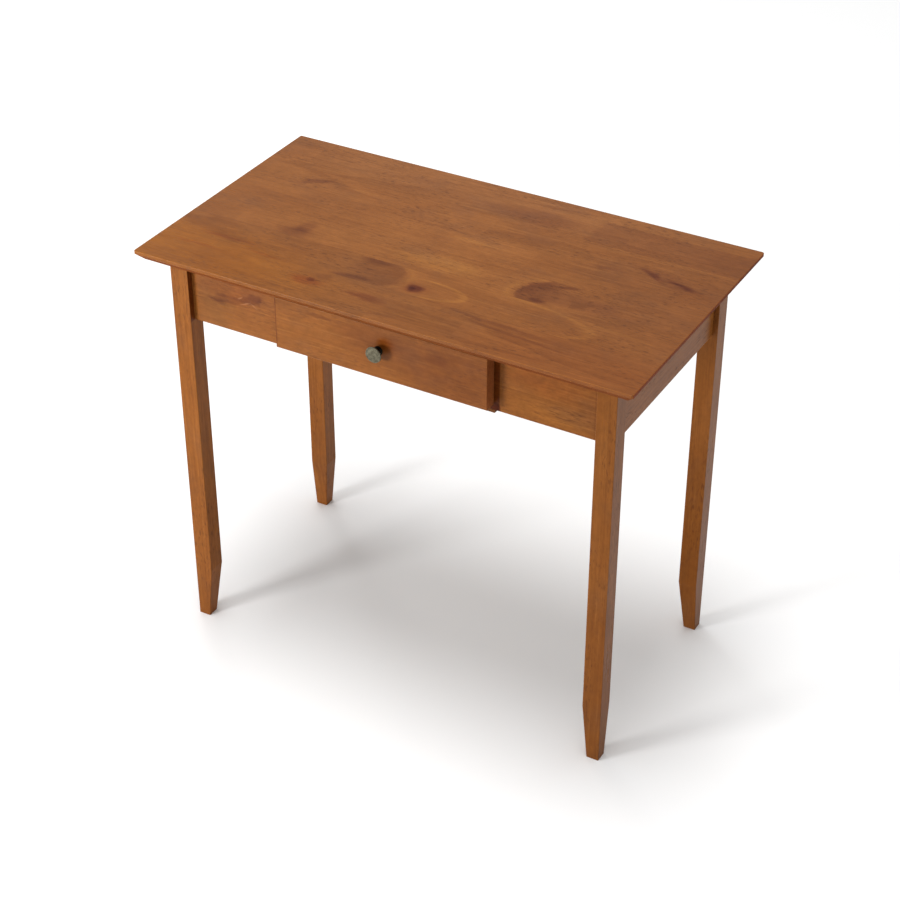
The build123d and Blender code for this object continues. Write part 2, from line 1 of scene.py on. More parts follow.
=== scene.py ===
import math
import bpy
import numpy as np
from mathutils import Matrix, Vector


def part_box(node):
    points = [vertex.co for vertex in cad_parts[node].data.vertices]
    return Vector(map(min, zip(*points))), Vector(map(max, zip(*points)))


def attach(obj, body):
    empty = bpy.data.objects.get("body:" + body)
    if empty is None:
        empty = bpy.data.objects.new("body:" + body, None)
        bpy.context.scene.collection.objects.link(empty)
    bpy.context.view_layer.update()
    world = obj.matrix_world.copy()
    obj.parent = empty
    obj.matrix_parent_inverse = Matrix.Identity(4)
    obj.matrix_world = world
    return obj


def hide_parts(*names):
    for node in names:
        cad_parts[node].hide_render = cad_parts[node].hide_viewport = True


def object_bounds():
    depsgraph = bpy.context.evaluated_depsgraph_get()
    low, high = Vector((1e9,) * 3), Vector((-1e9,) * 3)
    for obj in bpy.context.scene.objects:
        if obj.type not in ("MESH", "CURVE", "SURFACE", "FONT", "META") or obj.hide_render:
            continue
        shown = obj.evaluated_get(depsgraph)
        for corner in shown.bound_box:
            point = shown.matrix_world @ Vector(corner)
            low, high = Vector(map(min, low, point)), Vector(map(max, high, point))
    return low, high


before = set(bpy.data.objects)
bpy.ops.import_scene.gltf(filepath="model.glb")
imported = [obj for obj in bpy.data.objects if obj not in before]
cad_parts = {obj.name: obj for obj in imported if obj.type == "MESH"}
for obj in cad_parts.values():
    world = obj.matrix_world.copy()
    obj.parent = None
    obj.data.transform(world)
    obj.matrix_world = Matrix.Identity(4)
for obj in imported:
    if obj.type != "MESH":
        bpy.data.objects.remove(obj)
cadLow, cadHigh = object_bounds()
print("frame loaded:", len(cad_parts), "nodes")


# A wire wraps one socket, and maths on wires adds Math nodes.
class Wire:
    def __init__(self, graph, socket):
        self.graph = graph
        self.socket = socket

    def math(self, operation, *others):
        return self.graph.math(operation, self, *others)

    def __add__(self, other):
        return self.math("ADD", other)

    def __radd__(self, other):
        return self.math("ADD", other)

    def __sub__(self, other):
        return self.math("SUBTRACT", other)

    def __rsub__(self, other):
        return self.graph.math("SUBTRACT", other, self)

    def __mul__(self, other):
        return self.math("MULTIPLY", other)

    def __rmul__(self, other):
        return self.math("MULTIPLY", other)

    def __truediv__(self, other):
        return self.math("DIVIDE", other)

    def __pow__(self, other):
        return self.math("POWER", other)

    def __abs__(self):
        return self.math("ABSOLUTE")

    def floor(self):
        return self.math("FLOOR")

    def fraction(self):
        return self.math("FRACT")

    def smaller(self, other):
        return self.math("MINIMUM", other)

    def larger(self, other):
        return self.math("MAXIMUM", other)

    def rise(self, low, high):  # 0 below low, 1 above high, smooth between
        return self.graph.node("ShaderNodeMapRange", {"interpolation_type": "SMOOTHSTEP"},
                               {"Value": self, "From Min": low, "From Max": high})


class Graph:
    def __init__(self, name):
        self.material = bpy.data.materials.new(name)
        self.material.use_nodes = True
        self.tree = self.material.node_tree
        self.tree.nodes.clear()

    def node(self, kind, settings=None, inputs=None, output=0):
        made = self.tree.nodes.new(kind)
        for key, value in (settings or {}).items():
            setattr(made, key, value)
        for key, value in (inputs or {}).items():
            if isinstance(value, Wire):
                self.tree.links.new(value.socket, made.inputs[key])
            else:
                made.inputs[key].default_value = value
        return Wire(self, made.outputs[output]) if made.outputs else None

    def math(self, operation, *values):
        return self.node("ShaderNodeMath", {"operation": operation}, dict(enumerate(values)))

    def mixColour(self, factor, first, second, blend="MIX"):
        colours = [value if isinstance(value, Wire) else (*value, 1) for value in (first, second)]
        return self.node("ShaderNodeMix", {"data_type": "RGBA", "blend_type": blend},
                         {0: factor, 6: colours[0], 7: colours[1]}, output=2)

    def vector(self, x, y, z):
        return self.node("ShaderNodeCombineXYZ", None, {0: x, 1: y, 2: z})

    def parts(self, vector):
        split = self.node("ShaderNodeSeparateXYZ", None, {0: vector})
        return [Wire(self, socket) for socket in split.socket.node.outputs]

    def place(self):  # a point of the piece in metres, in the desk's own frame
        return self.node("ShaderNodeTexCoord", output="Object")

    def noise(self, vector, scale, detail=2.0, rough=0.5, output=0):
        return self.node("ShaderNodeTexNoise", None,
                         {"Vector": vector, "Scale": scale, "Detail": detail, "Roughness": rough}, output)

    def finish(self, inputs):
        shader = self.node("ShaderNodeBsdfPrincipled", None, inputs)
        self.node("ShaderNodeOutputMaterial", None, {"Surface": shader})
        return self.material

    def randomFor(self, value):  # one random number for each value
        return self.node("ShaderNodeTexWhiteNoise", {"noise_dimensions": "1D"}, {"W": value})

    def bump(self, height, strength, distance):
        inputs = {"Strength": strength, "Distance": distance, "Height": height}
        return self.node("ShaderNodeBump", None, inputs)


# A board's own axes: along the grain, across the staves that it is glued from, and deep into it.
quarter = math.pi / 2
boardTurn = {
    "top": (0, 0, 0),                 # along X, across Y, deep Z
    "front": (-quarter, 0, 0),        # along X, across Z
    "side": (-quarter, -quarter, 0),  # along Y, across Z
    "flat": (0, 0, -quarter),         # along Y, across X
    "upright": (0, quarter, 0),       # along Z, across Y
}
grainAxis = {"top": 0, "front": 0, "side": 1, "flat": 1, "upright": 2}

stained = {
    "light": (0.258, 0.089, 0.018),   # early wood under the honey stain
    "middle": (0.222, 0.072, 0.013),
    "late": (0.128, 0.036, 0.008),    # the darker line of each year's ring
    "pale": (0.360, 0.140, 0.034),    # thin bright lines between the fibres
    "paleStrength": 0.30,
    "knot": (0.050, 0.014, 0.007),    # pores
    "ash": (0.172, 0.066, 0.024),     # greyer stretches of stain
    "ringWidth": 0.0072,
    "ringStrength": 0.24,
    "fibreStrength": 0.34,
    "poreStrength": 0.42,
    "blotch": 0.45,
    "mottle": 0.23,
    "staveTone": 0.10,
    "tone": 1.0,                      # brightness of the whole board
    "endTint": (0.62, 0.58, 0.55),    # end grain drinks more stain
    "edgeTone": 1.0,                  # brightness of the top's long edges
    "underFrom": None,                # the underside starts this far below the upper face and is painted this dark there, a painted shade on the downward faces
    "underShadeTint": (0.66, 0.50, 0.24),  # and the stain lies this dark on it
    "wearAndHighlight": 0.22,                     # paler arrises: wear, and a painted highlight
    "roughness": 0.30,
    "specular": 0.06,
    "bump": 0.10,
}
topLook = dict(
    stained, light=(0.262, 0.092, 0.022), middle=(0.222, 0.074, 0.017), ringStrength=0.36, tone=1.06,
    endTint=(0.82, 0.50, 0.36), edgeTone=0.88, underFrom=0.0062, wearAndHighlight=0.38, roughness=0.28, specular=0.12)
frontLook = dict(
    stained, fibreStrength=0.24, poreStrength=0.28, mottle=0.27, endTint=(1, 1, 1), specular=0.10)
rightApronLook = dict(frontLook, poreStrength=0.42, mottle=0.36, tone=0.95, specular=0.07)
# the drawer front's cut ends are painted lighter and bluer: painted light on them
drawerLook = dict(frontLook, endTint=(1.35, 1.35, 1.7))
# the lower rail is painted darker: painted shadow of the drawer front above it
lowerRailShadowLook = dict(frontLook, tone=0.55)
upperRailLook = dict(frontLook, tone=0.80)

plain = dict(
    stained, light=(0.640, 0.430, 0.230), middle=(0.560, 0.355, 0.175), late=(0.400, 0.215, 0.090),
    pale=(0.700, 0.500, 0.290), knot=(0.150, 0.065, 0.028), ash=(0.520, 0.360, 0.210), ringStrength=0.42,
    poreStrength=0.20, mottle=0.10, endTint=(0.80, 0.77, 0.74), wearAndHighlight=0.10, roughness=0.62, specular=0.35,
    bump=0.25)
beech = dict(
    plain, light=(0.680, 0.480, 0.290), middle=(0.600, 0.400, 0.230), late=(0.480, 0.290, 0.150),
    ringStrength=0.15)
ply = dict(
    plain, light=(0.660, 0.480, 0.290), middle=(0.600, 0.420, 0.240), late=(0.470, 0.300, 0.160),
    ringWidth=0.011, ringStrength=0.25)

# Each noise of the grain: waves in a metre along and across the fibres, detail, roughness, and how many
# seeds it is shifted by.
grain = {
    "wobble": (3.5, 14, 3.0, 0.5, 0),
    "drift": (1.1, 3, 1.0, 0.5, 1),
    "ringFade": (2.5, 16, 2.0, 0.5, 1),
    "fibre": (7, 260, 3.0, 0.62, 1),
    "hair": (22, 900, 2.0, 0.6, 1),
    "dash": (78, 430, 1.0, 0.5, -1),
    "poreZone": (7, 22, 1.0, 0.5, 1),
    "fleck": (110, 210, 2.0, 0.6, 3),
    "patch": (4, 10, 3.0, 0.6, -1),
    "cloud": (9, 16, 3.0, 0.65, 2),
    "mottle": (42, 85, 4.0, 0.68, 1),
    "torn": (20, 40, 4.0, 0.6, 1),
    "uneven": (34, 90, 3.0, 0.6, 1),
}
# Where each noise starts to show, and where it is full.
contrast = {
    "ringStart": (0.15, 0.86),      # within one ring: the slow rise to late wood
    "ringEnd": (0.90, 1.0),         # and its sharp end
    "ringFade": (0.36, 0.62),
    "fibre": (0.46, 0.74),
    "hair": (0.5, 0.8),
    "paleLine": (0.30, 0.46),
    "dash": (0.56, 0.70),
    "poreZone": (0.40, 0.60),
    "patch": (0.30, 0.70),
    "cloud": (0.46, 0.74),
}
# Sizes inside a board, in metres.
board = {
    "pithDepth": 0.042,             # the pith line lies this deep under the middle of the board
    "pithSpread": (0.13, 0.04),     # and strays this far from stave to stave, across and deep
    "pithTilt": (0.04, 0.12),       # metres for each metre along
    "driftReach": 0.060,
    "wobbleReach": 0.016,
    "seamWidth": 0.0010,
    "seamStrength": 0.35,
    "endReach": (0.0002, 0.0010),   # from a cut end: dark, then as the rest
    "arrisReach": (0.0002, 0.0012),
    "arrisWander": 0.0012,
    "underFade": 0.0006,
    "tear": (0.040, 0.018),         # how far figures are torn, along and across
    "jointFade": 0.0012,
    "deepFade": 0.0004,
    "bumpHeight": 0.0006,
}
dull = {"end": 0.4, "under": 0.65}  # how much rougher cut ends and the underside are


def grainNoise(graph, kind, spot, seed, extra=None, output=0):
    # A noise stretched along the fibres: more waves across and deep into the board than along it.
    lengthways, crossways, detail, rough, share = grain[kind]
    along, across, deep = spot
    depth = deep * crossways + share * seed
    if extra is not None:
        depth = depth + extra
    stretched = graph.vector(along * lengthways, across * crossways, depth)
    return graph.noise(stretched, 1.0, detail, rough, output)


def lengthChances(graph, spot, seed, staves):
    # Three random numbers for each length of wood. Staves are strips glued side by side, each made of
    # lengths butted end to end.
    along, across, deep = spot
    row = length = along * 0
    if staves:
        row = ((across - staves["joint"]) / staves["width"]).floor()
        length = ((along + graph.randomFor(row + seed) * staves["length"]) / staves["length"]).floor()
    chances = graph.node("ShaderNodeTexWhiteNoise", {"noise_dimensions": "3D"},
                         {"Vector": graph.vector(row, length, seed)}, output=1)
    return graph.parts(chances)


def bendGrain(spot, bends):
    # The grain swells round each knot: a point there takes the grain that lies nearer the knot's middle line,
    # by a share of pull * exp(-(distance / size)^2).
    along, across, deep = spot
    for bend in bends:
        dx = (along - bend["at"][0]) / bend["size"][0]
        dy = (across - bend["at"][1]) / bend["size"][1]
        swell = (0 - (dx * dx + dy * dy)).math("EXPONENT")
        across = across - (across - bend["at"][1]) * swell * bend["pull"]
    return along, across, deep


def ringLines(graph, straight, spot, seed, look, chances):
    # Rings: distance from a slightly tilted pith line under the stave. The grain wanders differently in each
    # length, and each ring has its own strength.
    toneChance, pithChance, tiltChance = chances
    along, across, deep = spot
    wobble = grainNoise(graph, "wobble", straight, seed, toneChance * 7) - 0.5
    drift = grainNoise(graph, "drift", straight, seed, toneChance * 5) - 0.5
    pithAcross = (across + (pithChance - 0.5) * board["pithSpread"][0] + drift * board["driftReach"]
                  + along * ((toneChance - 0.5) * board["pithTilt"][0]))
    pithDeep = (deep + (tiltChance - 0.5) * board["pithSpread"][1] + board["pithDepth"]
                + along * ((tiltChance - 0.5) * board["pithTilt"][1]))
    radius = (pithAcross * pithAcross + pithDeep * pithDeep) ** 0.5 + wobble * board["wobbleReach"]
    growth = radius / look["ringWidth"]
    phase = growth.fraction()
    strength = graph.randomFor(growth.floor() + seed)
    late = phase.rise(*contrast["ringStart"]) * (1 - phase.rise(*contrast["ringEnd"]))
    ringFade = grainNoise(graph, "ringFade", spot, seed).rise(*contrast["ringFade"])
    return late * (0.15 + strength * 0.85) * (0.2 + ringFade * 0.8), ringFade


def mark(at, size, depth, tint=None, **more):  # where it is, its reach each way, its strength and its tint
    return dict(at=at, size=size, depth=depth, tint=tint, **more)


def figureMask(along, across, spec, staves):
    # An oval with a soft edge: 1 in its middle, 0 outside. "ring" keeps only a line along its edge, with an
    # inner and an outer width, "fade" lets it die away towards its far end, and "stave" cuts it off at the
    # joints of that stave.
    turn = math.radians(spec.get("turn", 0))
    dx = (along - spec["at"][0]) / spec["size"][0]
    dy = (across - spec["at"][1]) / spec["size"][1]
    if turn:
        ratio = spec["size"][1] / spec["size"][0]
        u = dx * math.cos(turn) + dy * (math.sin(turn) * ratio)
        v = dy * math.cos(turn) - dx * (math.sin(turn) / ratio)
    else:
        u, v = dx, dy
    reach = (u * u + v * v) ** 0.5
    if "ring" in spec:
        mask = reach.rise(1 - spec["ring"][0], 1) * (1 - reach.rise(1, 1 + spec["ring"][1]))
    else:
        mask = 1 - reach.rise(spec.get("core", 0.3), 1.0)
    if "fade" in spec:
        mask = mask * (1 - u.rise(*spec["fade"]))
    if "stave" in spec:
        low = staves["joint"] + staves["width"] * spec["stave"]
        high = low + staves["width"]
        fade = board["jointFade"]
        mask = mask * across.rise(low, low + fade) * (1 - across.rise(high - fade, high))
    return mask


def paintFigures(graph, colour, spot, seed, figures, staves):
    # Knots, flames, stain and painted shade at chosen places, with torn edges and an uneven strength. A
    # "tint" keeps the texture under it, a "colour" covers it, and "deepTo" leaves out what lies deeper.
    along, across, deep = spot
    surface = (along, across, 0)
    tornAlong, tornAcross = graph.parts(grainNoise(graph, "torn", surface, seed, output=1))[:2]
    uneven = 0.62 + grainNoise(graph, "uneven", surface, seed) * 0.76   # 1 on average
    for spec in figures:
        tear = spec.get("tear", 1)
        figureAlong = along + (tornAlong - 0.5) * (board["tear"][0] * tear)
        figureAcross = across
        if "stave" not in spec:
            figureAcross = across + (tornAcross - 0.5) * (board["tear"][1] * tear)
        mask = figureMask(figureAlong, figureAcross, spec, staves) * uneven * spec["depth"]
        if "deepTo" in spec:
            mask = mask * (1 - deep.rise(spec["deepTo"], spec["deepTo"] + board["deepFade"]))
        if "colour" in spec:
            colour = graph.mixColour(mask.smaller(1), colour, spec["colour"])
        else:
            colour = graph.mixColour(mask.smaller(1), colour, spec["tint"], "MULTIPLY")
    return colour


def woodMaterial(name, node, face, seed, look, staves=None, figures=(), bends=()):
    graph = Graph(name)
    place = graph.place()
    turned = graph.node("ShaderNodeMapping", None, {"Vector": place, "Rotation": boardTurn[face]})
    straight = graph.parts(turned)
    chances = lengthChances(graph, straight, seed, staves)
    spot = bendGrain(straight, bends)
    late, ringFade = ringLines(graph, straight, spot, seed, look, chances)

    # Fibres and pores: fine dark streaks and short dashes.
    fibre = grainNoise(graph, "fibre", spot, seed)
    hair = grainNoise(graph, "hair", spot, seed)
    dash = grainNoise(graph, "dash", spot, seed).rise(*contrast["dash"])
    pore = dash * grainNoise(graph, "poreZone", spot, seed).rise(*contrast["poreZone"])

    # Stain: patches that took more or less of it, and a fine mottle with flecks.
    patch = grainNoise(graph, "patch", spot, seed)
    cloud = grainNoise(graph, "cloud", spot, seed)
    mottle = grainNoise(graph, "mottle", spot, seed)
    fleck = grainNoise(graph, "fleck", spot, seed)

    colour = graph.mixColour(patch.rise(*contrast["patch"]), look["middle"], look["light"])
    colour = graph.mixColour(cloud.rise(*contrast["cloud"]) * look["blotch"], colour, look["ash"])
    colour = graph.mixColour(late * look["ringStrength"], colour, look["late"])
    streak = (fibre.rise(*contrast["fibre"]) * look["fibreStrength"]
              + hair.rise(*contrast["hair"]) * (look["fibreStrength"] * 0.5))
    colour = graph.mixColour(streak, colour, look["late"])
    paleLine = (1 - fibre.rise(*contrast["paleLine"])) * (0.35 + ringFade * 0.65)
    colour = graph.mixColour(paleLine * look["paleStrength"], colour, look["pale"])
    colour = graph.mixColour(pore * look["poreStrength"], colour, look["knot"])
    if figures:
        colour = paintFigures(graph, colour, straight, seed, figures, staves)
    shade = (1 + (mottle - 0.5) * (2 * look["mottle"]) + (fleck - 0.5) * look["mottle"]) * look["tone"]

    # Each length has its own tone, and a thin glue line lies between staves.
    if staves:
        shade = shade * (1 + (chances[0] - 0.5) * look["staveTone"])
        seam = abs(((straight[1] - staves["joint"]) / staves["width"] + 0.5).fraction() - 0.5)
        seamLine = 1 - seam.rise(0.0, board["seamWidth"] / staves["width"])
        colour = graph.mixColour(seamLine * board["seamStrength"], colour, look["late"])

    # Cut ends take the end tint, since there the board's face across the grain is close: darker stain on most
    # boards, painted light on the drawer front's ends.
    low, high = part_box(node)
    x, y, z = graph.parts(place)
    gaps = [half - abs(value - middle)
            for value, middle, half in zip((x, y, z), (low + high) / 2, (high - low) / 2)]
    ends = 1 - gaps[grainAxis[face]].rise(*board["endReach"])
    colour = graph.mixColour(ends, colour, look["endTint"], "MULTIPLY")
    duller = ends * dull["end"]
    if look["underFrom"]:   # the top: its long edges, and its bevel and underside, which get a painted shade
        longEdges = 1 - gaps[1].rise(*board["endReach"])
        shade = shade * (1 - longEdges * (1 - look["edgeTone"]))
        under = (high.z - z).rise(look["underFrom"], look["underFrom"] + board["underFade"])
        # the bevel and underside face down: painted shade on them
        colour = graph.mixColour(under, colour, look["underShadeTint"], "MULTIPLY")
        duller = duller.larger(under * dull["under"])
    colour = graph.mixColour(1.0, colour, graph.vector(shade, shade, shade), "MULTIPLY")

    # Paler arrises, partly wear and partly a painted highlight: there the second nearest face of the board is
    # close too.
    gapX, gapY, gapZ = gaps
    second = gapX.smaller(gapY).larger(gapX.larger(gapY).smaller(gapZ))
    wearAndHighlight = 1 - (second + (cloud - 0.5) * board["arrisWander"]).rise(*board["arrisReach"])
    colour = graph.mixColour(wearAndHighlight * look["wearAndHighlight"], colour, look["pale"])

    relief = fibre * 0.5 + hair * 0.35 - pore * 0.9 - late * 0.25
    rough = look["roughness"] + (fibre - 0.5) * 0.10 + (cloud - 0.5) * 0.12 + pore * 0.10 + duller
    return graph.finish({
        "Base Color": colour, "Roughness": rough, "Specular IOR Level": look["specular"],
        "Normal": graph.bump(relief, look["bump"], board["bumpHeight"]),
    })


def dress(node, material):
    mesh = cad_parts[node].data
    mesh.materials.clear()
    mesh.materials.append(material)


# Knots, flames and stain patches: places in metres along and across the board, and their tints.
# Some of these marks are painted shade and shadow, each noted where it stands.
scratchPale = (0.400, 0.175, 0.075)
plumTint = (0.56, 0.46, 0.58)
knotTint = (0.44, 0.28, 0.40)
umberTint = (0.84, 0.64, 0.58)
goldTint = (1.28, 1.38, 1.25)
# a dark brown for painted shade in corners and for painted shadows beside the drawer front
paintedShade = (0.42, 0.25, 0.15)
topWood = {
    "staves": {"joint": -0.006, "width": 0.075, "length": 0.62},
    "bends": [
        {"at": (0.014, -0.135), "size": (0.075, 0.030), "pull": 0.75},
        {"at": (0.195, -0.045), "size": (0.080, 0.035), "pull": 0.60},
        {"at": (-0.080, -0.118), "size": (0.090, 0.035), "pull": 0.50},
        {"at": (0.360, 0.082), "size": (0.070, 0.022), "pull": 0.55},
        {"at": (-0.250, -0.060), "size": (0.060, 0.030), "pull": 0.45},
    ],
    "figures": [
        # stain that took differently over whole stretches, and along the back a painted sheen
        mark((-0.38, -0.20), (0.36, 0.13), 0.85, (1.18, 1.10, 0.50)),
        mark((-0.06, 0.15), (0.52, 0.20), 0.70, (1.16, 1.20, 1.30)),
        mark((-0.02, -0.06), (0.26, 0.14), 0.35, (1.16, 1.20, 1.20)),
        mark((0.48, 0.00), (0.34, 0.30), 0.50, (0.80, 0.78, 0.95)),
        mark((0.33, -0.22), (0.26, 0.10), 0.50, (0.86, 0.72, 0.66)),
        # paler and bluer along the back: partly paler stain, partly painted sheen
        mark((-0.05, 0.23), (0.60, 0.12), 0.80, (1.10, 1.18, 1.45)),
        mark((0.01, -0.045), (0.11, 0.034), 0.80, goldTint, stave=-1),
        # the dark length near the back right corner, and the cloud beside it
        mark((0.418, 0.182), (0.250, 0.36), 0.38, plumTint, core=0.96, stave=2),
        mark((0.400, 0.185), (0.090, 0.030), 0.20, plumTint),
        mark((0.075, 0.178), (0.130, 0.034), 0.42, plumTint, stave=2),
        # right flame: a dark arc open to the right, and a soft dark heart
        mark((0.250, -0.050), (0.090, 0.056), 0.72, plumTint, ring=(0.65, 0.08), turn=8, fade=(-0.58, 0.15),
             tear=0.45, stave=-1),
        mark((0.200, -0.048), (0.060, 0.044), 0.55, plumTint, core=0.25, fade=(0.0, 0.9), tear=0.7,
             stave=-1),
        mark((0.262, -0.050), (0.105, 0.036), 0.50, (0.80, 0.72, 0.84), tear=0.7, stave=-1),
        mark((0.232, -0.047), (0.064, 0.032), 0.50, colour=(0.150, 0.050, 0.015), tear=0.7, stave=-1),
        mark((0.250, -0.050), (0.106, 0.062), 0.42, goldTint, ring=(0.07, 0.16), turn=8, fade=(-0.7, -0.2),
             tear=0.5, stave=-1),
        mark((0.198, -0.072), (0.020, 0.008), 0.95, plumTint, tear=0.4),
        mark((0.226, -0.013), (0.026, 0.007), 0.80, plumTint, turn=20, tear=0.4),
        # middle flame under its joint, open to the left
        mark((-0.075, -0.112), (0.058, 0.046), 0.34, plumTint, core=0.55, turn=180, fade=(0.2, 1.0),
             tear=0.5, stave=-2),
        mark((-0.082, -0.084), (0.042, 0.020), 0.70, plumTint, tear=0.4, stave=-2),
        mark((-0.084, -0.117), (0.062, 0.046), 0.34, plumTint, ring=(0.40, 0.10), turn=180,
             fade=(-0.4, 0.3), tear=0.8, stave=-2),
        mark((-0.096, -0.150), (0.050, 0.010), 0.75, plumTint, turn=6, tear=0.4, stave=-2),
        mark((-0.082, -0.115), (0.076, 0.054), 0.34, goldTint, ring=(0.10, 0.14), turn=180,
             fade=(-0.3, 0.2), tear=0.8, stave=-2),
        # the round knot, with two loops of pale grain on its right
        mark((0.014, -0.134), (0.021, 0.015), 0.85, knotTint, core=0.40, tear=0.5),
        mark((0.010, -0.136), (0.010, 0.008), 0.60, knotTint, tear=0.3),
        mark((0.014, -0.134), (0.036, 0.022), 0.55, umberTint, tear=0.6),
        mark((0.030, -0.127), (0.072, 0.026), 0.85, goldTint, ring=(0.24, 0.10), turn=180, fade=(-0.2, 0.6),
             tear=0.4, stave=-2),
        mark((0.100, -0.127), (0.222, 0.048), 0.62, goldTint, ring=(0.12, 0.05), turn=180, fade=(-0.1, 0.5),
             tear=0.4, stave=-2),
        # left flame standing on its joint
        mark((-0.256, -0.066), (0.044, 0.026), 0.60, plumTint, tear=0.6, stave=-1),
        mark((-0.248, -0.044), (0.024, 0.032), 0.55, plumTint, turn=-20, tear=0.6, stave=-1),
        # smaller marks
        mark((-0.325, 0.108), (0.046, 0.012), 0.66, plumTint, turn=32),
        mark((0.350, 0.088), (0.105, 0.026), 0.50, (0.78, 0.68, 0.74), turn=-16),
        mark((0.326, 0.092), (0.050, 0.018), 0.45, goldTint, turn=-26),
        mark((0.326, 0.092), (0.042, 0.0130), 0.95, knotTint, core=0.1, turn=-26),
        mark((0.336, 0.086), (0.026, 0.0028), 0.60, goldTint, turn=-26),
        mark((0.384, 0.080), (0.056, 0.018), 0.40, goldTint, turn=-14),
        mark((0.384, 0.080), (0.048, 0.0120), 0.85, knotTint, core=0.1, turn=-14),
        mark((0.250, 0.077), (0.044, 0.007), 0.45, plumTint),
        mark((-0.143, -0.190), (0.012, 0.009), 0.70, knotTint, tear=0.5),
        mark((-0.152, -0.196), (0.046, 0.019), 0.90, umberTint),
        mark((-0.130, -0.172), (0.026, 0.016), 0.40, plumTint),
        mark((-0.040, -0.195), (0.048, 0.013), 0.66, (0.62, 0.44, 0.52)),
        mark((-0.336, -0.137), (0.070, 0.008), 0.60, (0.82, 0.60, 0.50)),
        mark((-0.372, -0.178), (0.060, 0.007), 0.50, (0.86, 0.66, 0.46), turn=-4),
        mark((-0.255, -0.158), (0.050, 0.006), 0.50, (0.86, 0.66, 0.50)),
        mark((0.180, -0.168), (0.150, 0.007), 0.55, plumTint, turn=-4),
        mark((0.220, -0.185), (0.130, 0.006), 0.50, plumTint, turn=-6),
        mark((0.025, 0.050), (0.060, 0.012), 0.50, goldTint, fade=(-1.0, 1.2)),
        mark((0.370, -0.102), (0.100, 0.004), 0.45, goldTint, turn=-5),
    ],
}
dress("desk_top", woodMaterial("topWood", "desk_top", "top", 1.7, topLook, topWood["staves"],
                               topWood["figures"], topWood["bends"]))

apronStaves = {"joint": 0.676, "width": 0.075, "length": 0.9}
leftApronFigures = [
    mark((-0.330, 0.690), (0.052, 0.110), 0.62, (0.74, 0.80, 0.88)),
    mark((-0.300, 0.712), (0.100, 0.046), 0.50, umberTint, stave=0),
    mark((-0.305, 0.685), (0.044, 0.013), 0.62, plumTint, turn=14),
    mark((-0.258, 0.698), (0.034, 0.011), 0.80, plumTint, turn=14),
    mark((-0.242, 0.698), (0.007, 0.015), 0.45, plumTint),
    mark((-0.325, 0.678), (0.026, 0.003), 0.60, plumTint),
    mark((-0.270, 0.688), (0.015, 0.0022), 0.40, colour=scratchPale, turn=24, tear=0.5),
    mark((-0.254, 0.687), (0.011, 0.0020), 0.38, colour=scratchPale, turn=-34, tear=0.5),
    mark((-0.280, 0.696), (0.008, 0.0018), 0.36, colour=scratchPale, turn=30, tear=0.5),
]
rightApronFigures = [
    mark((0.290, 0.712), (0.110, 0.046), 0.45, umberTint, stave=0),
    mark((0.300, 0.650), (0.100, 0.024), 0.30, goldTint, stave=-1),
    # painted shadow of the drawer front on the apron beside its right end
    mark((0.194, 0.687), (0.0115, 0.60), 0.90, paintedShade, core=0.70, tear=0),
    # painted shade at the foot of that strip, where light reaches under the drawer front
    mark((0.196, 0.634), (0.012, 0.012), 0.85, paintedShade, core=0.60, tear=0),
    # a thin painted shade in the corner beside the right leg
    mark((0.3685, 0.687), (0.0030, 0.60), 0.16, paintedShade, tear=0),
]
drawerFigures = [
    # painted shadow of the knob, warm and dark, above and right of it
    mark((0.015, 0.706), (0.022, 0.017), 0.80, (0.84, 0.62, 0.22), tear=0.3),
    # painted shade under the top's overhang, strongest in the middle and at the upper left
    mark((-0.010, 0.712), (0.105, 0.048), 0.75, (0.72, 0.64, 0.68), core=0.15),
    mark((-0.163, 0.724), (0.055, 0.022), 0.60, (0.82, 0.80, 0.84)),
    mark((-0.130, 0.680), (0.110, 0.050), 0.25, goldTint),
    mark((0.150, 0.690), (0.180, 0.090), 0.62, (0.68, 0.58, 0.66)),
    mark((0.105, 0.705), (0.030, 0.016), 0.45, plumTint, turn=-8),
    mark((-0.110, 0.722), (0.030, 0.005), 0.45, plumTint),
    # a thin painted shade line along the drawer front's left end
    mark((-0.1945, 0.687), (0.0034, 0.60), 0.80, paintedShade, tear=0),
]
# painted light and shade: the left legs lighter and the right legs darker, as the lamps light them
legPaintedLight = {"front_left": 1.05, "front_right": 0.89, "back_left": 1.10, "back_right": 0.92}
legFigures = [mark((0.05, 0.0), (0.42, 2.0), 0.40, (0.72, 0.66, 0.60), tear=0)]
# painted shade in the corner beside the left apron: only on the leg's inner face
cornerShadeFigures = [mark((0.687, -0.205), (0.0610, 0.90), 0.80, paintedShade, core=0.94, tear=0, deepTo=0.3748)]
frontBoards = {   # material, seed, look, staves and figures of each board that faces the front or the back
    "apron_front_left": ("apronWoodFrontLeft", 4.1, frontLook, apronStaves, leftApronFigures),
    "apron_front_right": ("apronWoodFrontRight", 9.3, rightApronLook, apronStaves, rightApronFigures),
    "apron_back": ("apronWoodBack", 13.9, stained, apronStaves, ()),
    "drawer_rail_lower": ("railWoodLower", 25.5, lowerRailShadowLook, None, ()),
    "drawer_rail_upper": ("railWoodUpper", 29.1, upperRailLook, None, ()),
    "drawer_front": ("drawerFrontWood", 33.8, drawerLook, None, drawerFigures),
    "drawer_box_front": ("innerWood_drawer_box_front", 87.7, plain, None, ()),
    "drawer_box_back": ("innerWood_drawer_box_back", 91.2, plain, None, ()),
}
for node, (name, seed, look, staves, figures) in frontBoards.items():
    dress(node, woodMaterial(name, node, "front", seed, look, staves, figures))
dress("apron_left", woodMaterial("apronWoodLeft", "apron_left", "side", 17.2, stained, apronStaves))
dress("apron_right", woodMaterial("apronWoodRight", "apron_right", "side", 21.6, stained, apronStaves))
